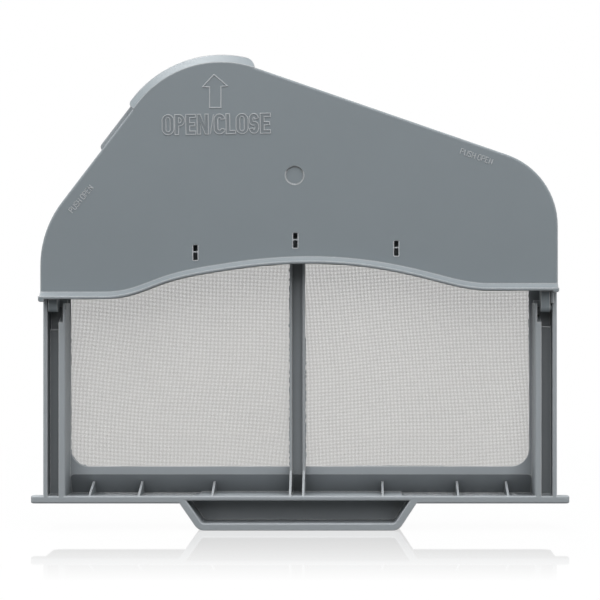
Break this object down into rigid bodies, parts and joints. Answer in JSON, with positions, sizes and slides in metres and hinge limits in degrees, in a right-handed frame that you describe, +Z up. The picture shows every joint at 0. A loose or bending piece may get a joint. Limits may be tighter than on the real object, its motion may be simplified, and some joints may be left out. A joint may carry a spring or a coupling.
{
  "type": "tumble dryer lint filter",
  "caption": "Grey moulded lint filter with woven mesh windows, a perforated flange with a finger-cup handle, side guide channels and a hinged front cover that opens for cleaning.",
  "frame": {"origin": "on the underside of the handle, below the middle of the flange and midway along the handle's depth", "axes": "+X across the filter to the right as seen from the cover, +Y from the cover to the mesh, +Z up from the handle to the crest"},
  "size_m": [0.2806, 0.044, 0.2478],
  "materials": {
    "frame_plastic": "satin moulded",
    "cover_plastic": "fine textured",
    "mesh": "plain weave"
  },
  "bodies": {
    "frame": {"filter_frame": "frame_plastic", "mesh_left": "mesh", "mesh_right": "mesh"},
    "cover": {"front_cover": "cover_plastic"}
  },
  "joints": [
    {"name": "cover_hinge", "type": "hinge", "parent": "frame", "child": "cover", "pos_m": [0, -0.0075, 0.116], "axis": [1, 0, 0], "range_deg": [0, 90]}
  ]
}
